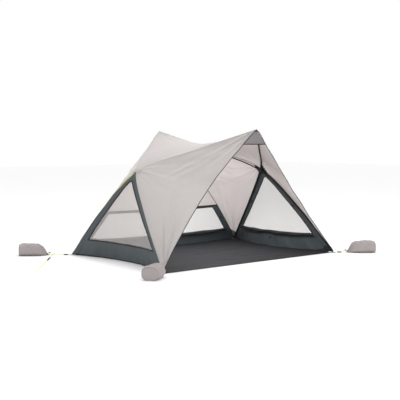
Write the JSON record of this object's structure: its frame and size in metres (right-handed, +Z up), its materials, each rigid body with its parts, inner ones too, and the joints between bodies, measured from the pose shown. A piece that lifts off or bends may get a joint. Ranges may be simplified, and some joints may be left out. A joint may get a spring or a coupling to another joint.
{
  "type": "tarp shelter",
  "caption": "Low beach shelter: crossing pole arches, saddle canopy with corner wings, mesh-window walls, groundsheet, sandbags and a guy line.",
  "frame": {"origin": "middle of the groundsheet's underside, on the ground", "axes": "+X right along the open front edge, +Y to the rear wall, +Z up"},
  "size_m": [3.5362, 2.3032, 1.31],
  "materials": {
    "canopy_cloth": "light grey coated polyester, matt",
    "slate_cloth": "slate grey coated polyester, matt",
    "window_mesh": "fine see-through polyester mesh",
    "floor_sheet": "charcoal coated groundsheet cloth",
    "blind_cloth": "dark polyester, rolled",
    "bag_cloth": "mauve-grey polyester",
    "webbing": "black woven webbing",
    "pole": "dark glass-fibre rod",
    "black_plastic": "black moulded plastic",
    "yellow_cord": "fluorescent yellow braided cord"
  },
  "bodies": {
    "shelter": {"canopy_top": "canopy_cloth", "wing_front_left": "canopy_cloth", "wing_rear_left": "canopy_cloth", "wing_front_right": "canopy_cloth", "wing_rear_right": "canopy_cloth", "front_gusset": "canopy_cloth", "rear_wall_upper": "canopy_cloth", "side_wall_left": "slate_cloth", "side_wall_right": "slate_cloth", "rear_wall_lower": "slate_cloth", "mesh_window_left": "window_mesh", "mesh_window_right": "window_mesh", "mesh_window_rear": "window_mesh", "groundsheet": "floor_sheet", "rolled_blind_left": "blind_cloth", "rolled_blind_right": "blind_cloth", "rolled_blind_rear": "blind_cloth", "corner_tab_front_left": "webbing", "corner_tab_front_right": "webbing", "corner_tab_rear_left": "webbing", "corner_tab_rear_right": "webbing", "guy_ring_left": "webbing", "guy_ring_right": "webbing", "pole_front_left": "pole", "pole_front_right": "pole", "pole_rear_left": "pole", "pole_rear_right": "pole", "pole_tip_front_left": "black_plastic", "pole_tip_front_right": "black_plastic", "pole_tip_rear_left": "black_plastic", "pole_tip_rear_right": "black_plastic", "peak_elbow_front": "black_plastic", "peak_elbow_rear": "black_plastic", "crossing_hub_left": "black_plastic", "crossing_hub_right": "black_plastic", "guy_line": "yellow_cord"},
    "sandbag_front_left": {"sandbag_front_left": "bag_cloth", "link_strap_front_left": "webbing"},
    "cord_lock_front_left": {"cord_lock_front_left": "black_plastic"},
    "sandbag_front_right": {"sandbag_front_right": "bag_cloth", "tether_cord_front_right": "yellow_cord"},
    "cord_lock_front_right": {"cord_lock_front_right": "black_plastic"},
    "tether_adjuster_front_right": {"tether_adjuster_front_right": "black_plastic"},
    "sandbag_rear_left": {"sandbag_rear_left": "bag_cloth", "tether_cord_rear_left": "yellow_cord"},
    "cord_lock_rear_left": {"cord_lock_rear_left": "black_plastic"},
    "tether_adjuster_rear_left": {"tether_adjuster_rear_left": "black_plastic"},
    "sandbag_rear_right": {"sandbag_rear_right": "bag_cloth", "link_strap_rear_right": "webbing"},
    "cord_lock_rear_right": {"cord_lock_rear_right": "black_plastic"},
    "guy_runner": {"guy_runner": "black_plastic"},
    "toggle_left_front": {"toggle_left_front": "black_plastic"},
    "toggle_left_rear": {"toggle_left_rear": "black_plastic"},
    "toggle_left_lower": {"toggle_left_lower": "black_plastic"},
    "toggle_right_front": {"toggle_right_front": "black_plastic"},
    "toggle_right_rear": {"toggle_right_rear": "black_plastic"},
    "toggle_right_lower": {"toggle_right_lower": "black_plastic"},
    "toggle_rear_left": {"toggle_rear_left": "black_plastic"},
    "toggle_rear_right": {"toggle_rear_right": "black_plastic"},
    "toggle_rear_lower": {"toggle_rear_lower": "black_plastic"}
  },
  "joints": [
    {"name": "sandbag_swivel_front_left", "type": "hinge", "parent": "shelter", "child": "sandbag_front_left", "pos_m": [-1.15987, -0.81915, 0.003], "axis": [0, 0, 1], "range_deg": [-60, 60]},
    {"name": "cord_lock_slide_front_left", "type": "slide", "parent": "sandbag_front_left", "child": "cord_lock_front_left", "axis": [0.8168, 0.5769, 0], "range_m": [0, 0.012]},
    {"name": "sandbag_swivel_front_right", "type": "hinge", "parent": "shelter", "child": "sandbag_front_right", "pos_m": [1.15987, -0.81915, 0.003], "axis": [0, 0, 1], "range_deg": [-60, 60]},
    {"name": "cord_lock_slide_front_right", "type": "slide", "parent": "sandbag_front_right", "child": "cord_lock_front_right", "axis": [-0.8168, 0.5769, 0], "range_m": [0, 0.012]},
    {"name": "tether_adjuster_slide_front_right", "type": "slide", "parent": "sandbag_front_right", "child": "tether_adjuster_front_right", "axis": [0.8168, -0.5769, 0], "range_m": [-0.004, 0.03]},
    {"name": "sandbag_swivel_rear_left", "type": "hinge", "parent": "shelter", "child": "sandbag_rear_left", "pos_m": [-1.15987, 0.81915, 0.003], "axis": [0, 0, 1], "range_deg": [-60, 60]},
    {"name": "cord_lock_slide_rear_left", "type": "slide", "parent": "sandbag_rear_left", "child": "cord_lock_rear_left", "axis": [0.8168, -0.5769, 0], "range_m": [0, 0.012]},
    {"name": "tether_adjuster_slide_rear_left", "type": "slide", "parent": "sandbag_rear_left", "child": "tether_adjuster_rear_left", "axis": [-0.8168, 0.5769, 0], "range_m": [-0.004, 0.03]},
    {"name": "sandbag_swivel_rear_right", "type": "hinge", "parent": "shelter", "child": "sandbag_rear_right", "pos_m": [1.15987, 0.81915, 0.003], "axis": [0, 0, 1], "range_deg": [-60, 60]},
    {"name": "cord_lock_slide_rear_right", "type": "slide", "parent": "sandbag_rear_right", "child": "cord_lock_rear_right", "axis": [-0.8168, -0.5769, 0], "range_m": [0, 0.012]},
    {"name": "guy_runner_slide", "type": "slide", "parent": "shelter", "child": "guy_runner", "axis": [0.7806, 0, 0.625], "range_m": [-0.04, 0.04]},
    {"name": "toggle_turn_left_front", "type": "hinge", "parent": "shelter", "child": "toggle_left_front", "pos_m": [-1.02581, -0.31835, 0.49191], "axis": [-0.9779, 0.1698, 0.1219], "range_deg": [-90, 90]},
    {"name": "toggle_turn_left_rear", "type": "hinge", "parent": "shelter", "child": "toggle_left_rear", "pos_m": [-1.02384, 0.35127, 0.4941], "axis": [-0.9768, -0.1648, 0.1368], "range_deg": [-90, 90]},
    {"name": "toggle_turn_left_lower", "type": "hinge", "parent": "shelter", "child": "toggle_left_lower", "pos_m": [-0.98909, 0.00347, 0.10625], "axis": [-0.9919, 0.0005, -0.1268], "range_deg": [-90, 90]},
    {"name": "toggle_turn_right_front", "type": "hinge", "parent": "shelter", "child": "toggle_right_front", "pos_m": [1.02581, -0.31835, 0.49191], "axis": [0.9779, 0.1698, 0.1219], "range_deg": [-90, 90]},
    {"name": "toggle_turn_right_rear", "type": "hinge", "parent": "shelter", "child": "toggle_right_rear", "pos_m": [1.02384, 0.35127, 0.4941], "axis": [0.9768, -0.1648, 0.1368], "range_deg": [-90, 90]},
    {"name": "toggle_turn_right_lower", "type": "hinge", "parent": "shelter", "child": "toggle_right_lower", "pos_m": [0.98909, 0.00347, 0.10625], "axis": [0.9919, 0.0005, -0.1268], "range_deg": [-90, 90]},
    {"name": "toggle_turn_rear_left", "type": "hinge", "parent": "shelter", "child": "toggle_rear_left", "pos_m": [-0.87869, 0.75345, 0.2842], "axis": [0.1395, 0.9901, 0.0186], "range_deg": [-90, 90]},
    {"name": "toggle_turn_rear_right", "type": "hinge", "parent": "shelter", "child": "toggle_rear_right", "pos_m": [0.87869, 0.75345, 0.2842], "axis": [-0.1395, 0.9901, 0.0186], "range_deg": [-90, 90]},
    {"name": "toggle_turn_rear_lower", "type": "hinge", "parent": "shelter", "child": "toggle_rear_lower", "pos_m": [0, 0.6976, 0.08444], "axis": [0, 0.9987, 0.0503], "range_deg": [-90, 90]}
  ]
}
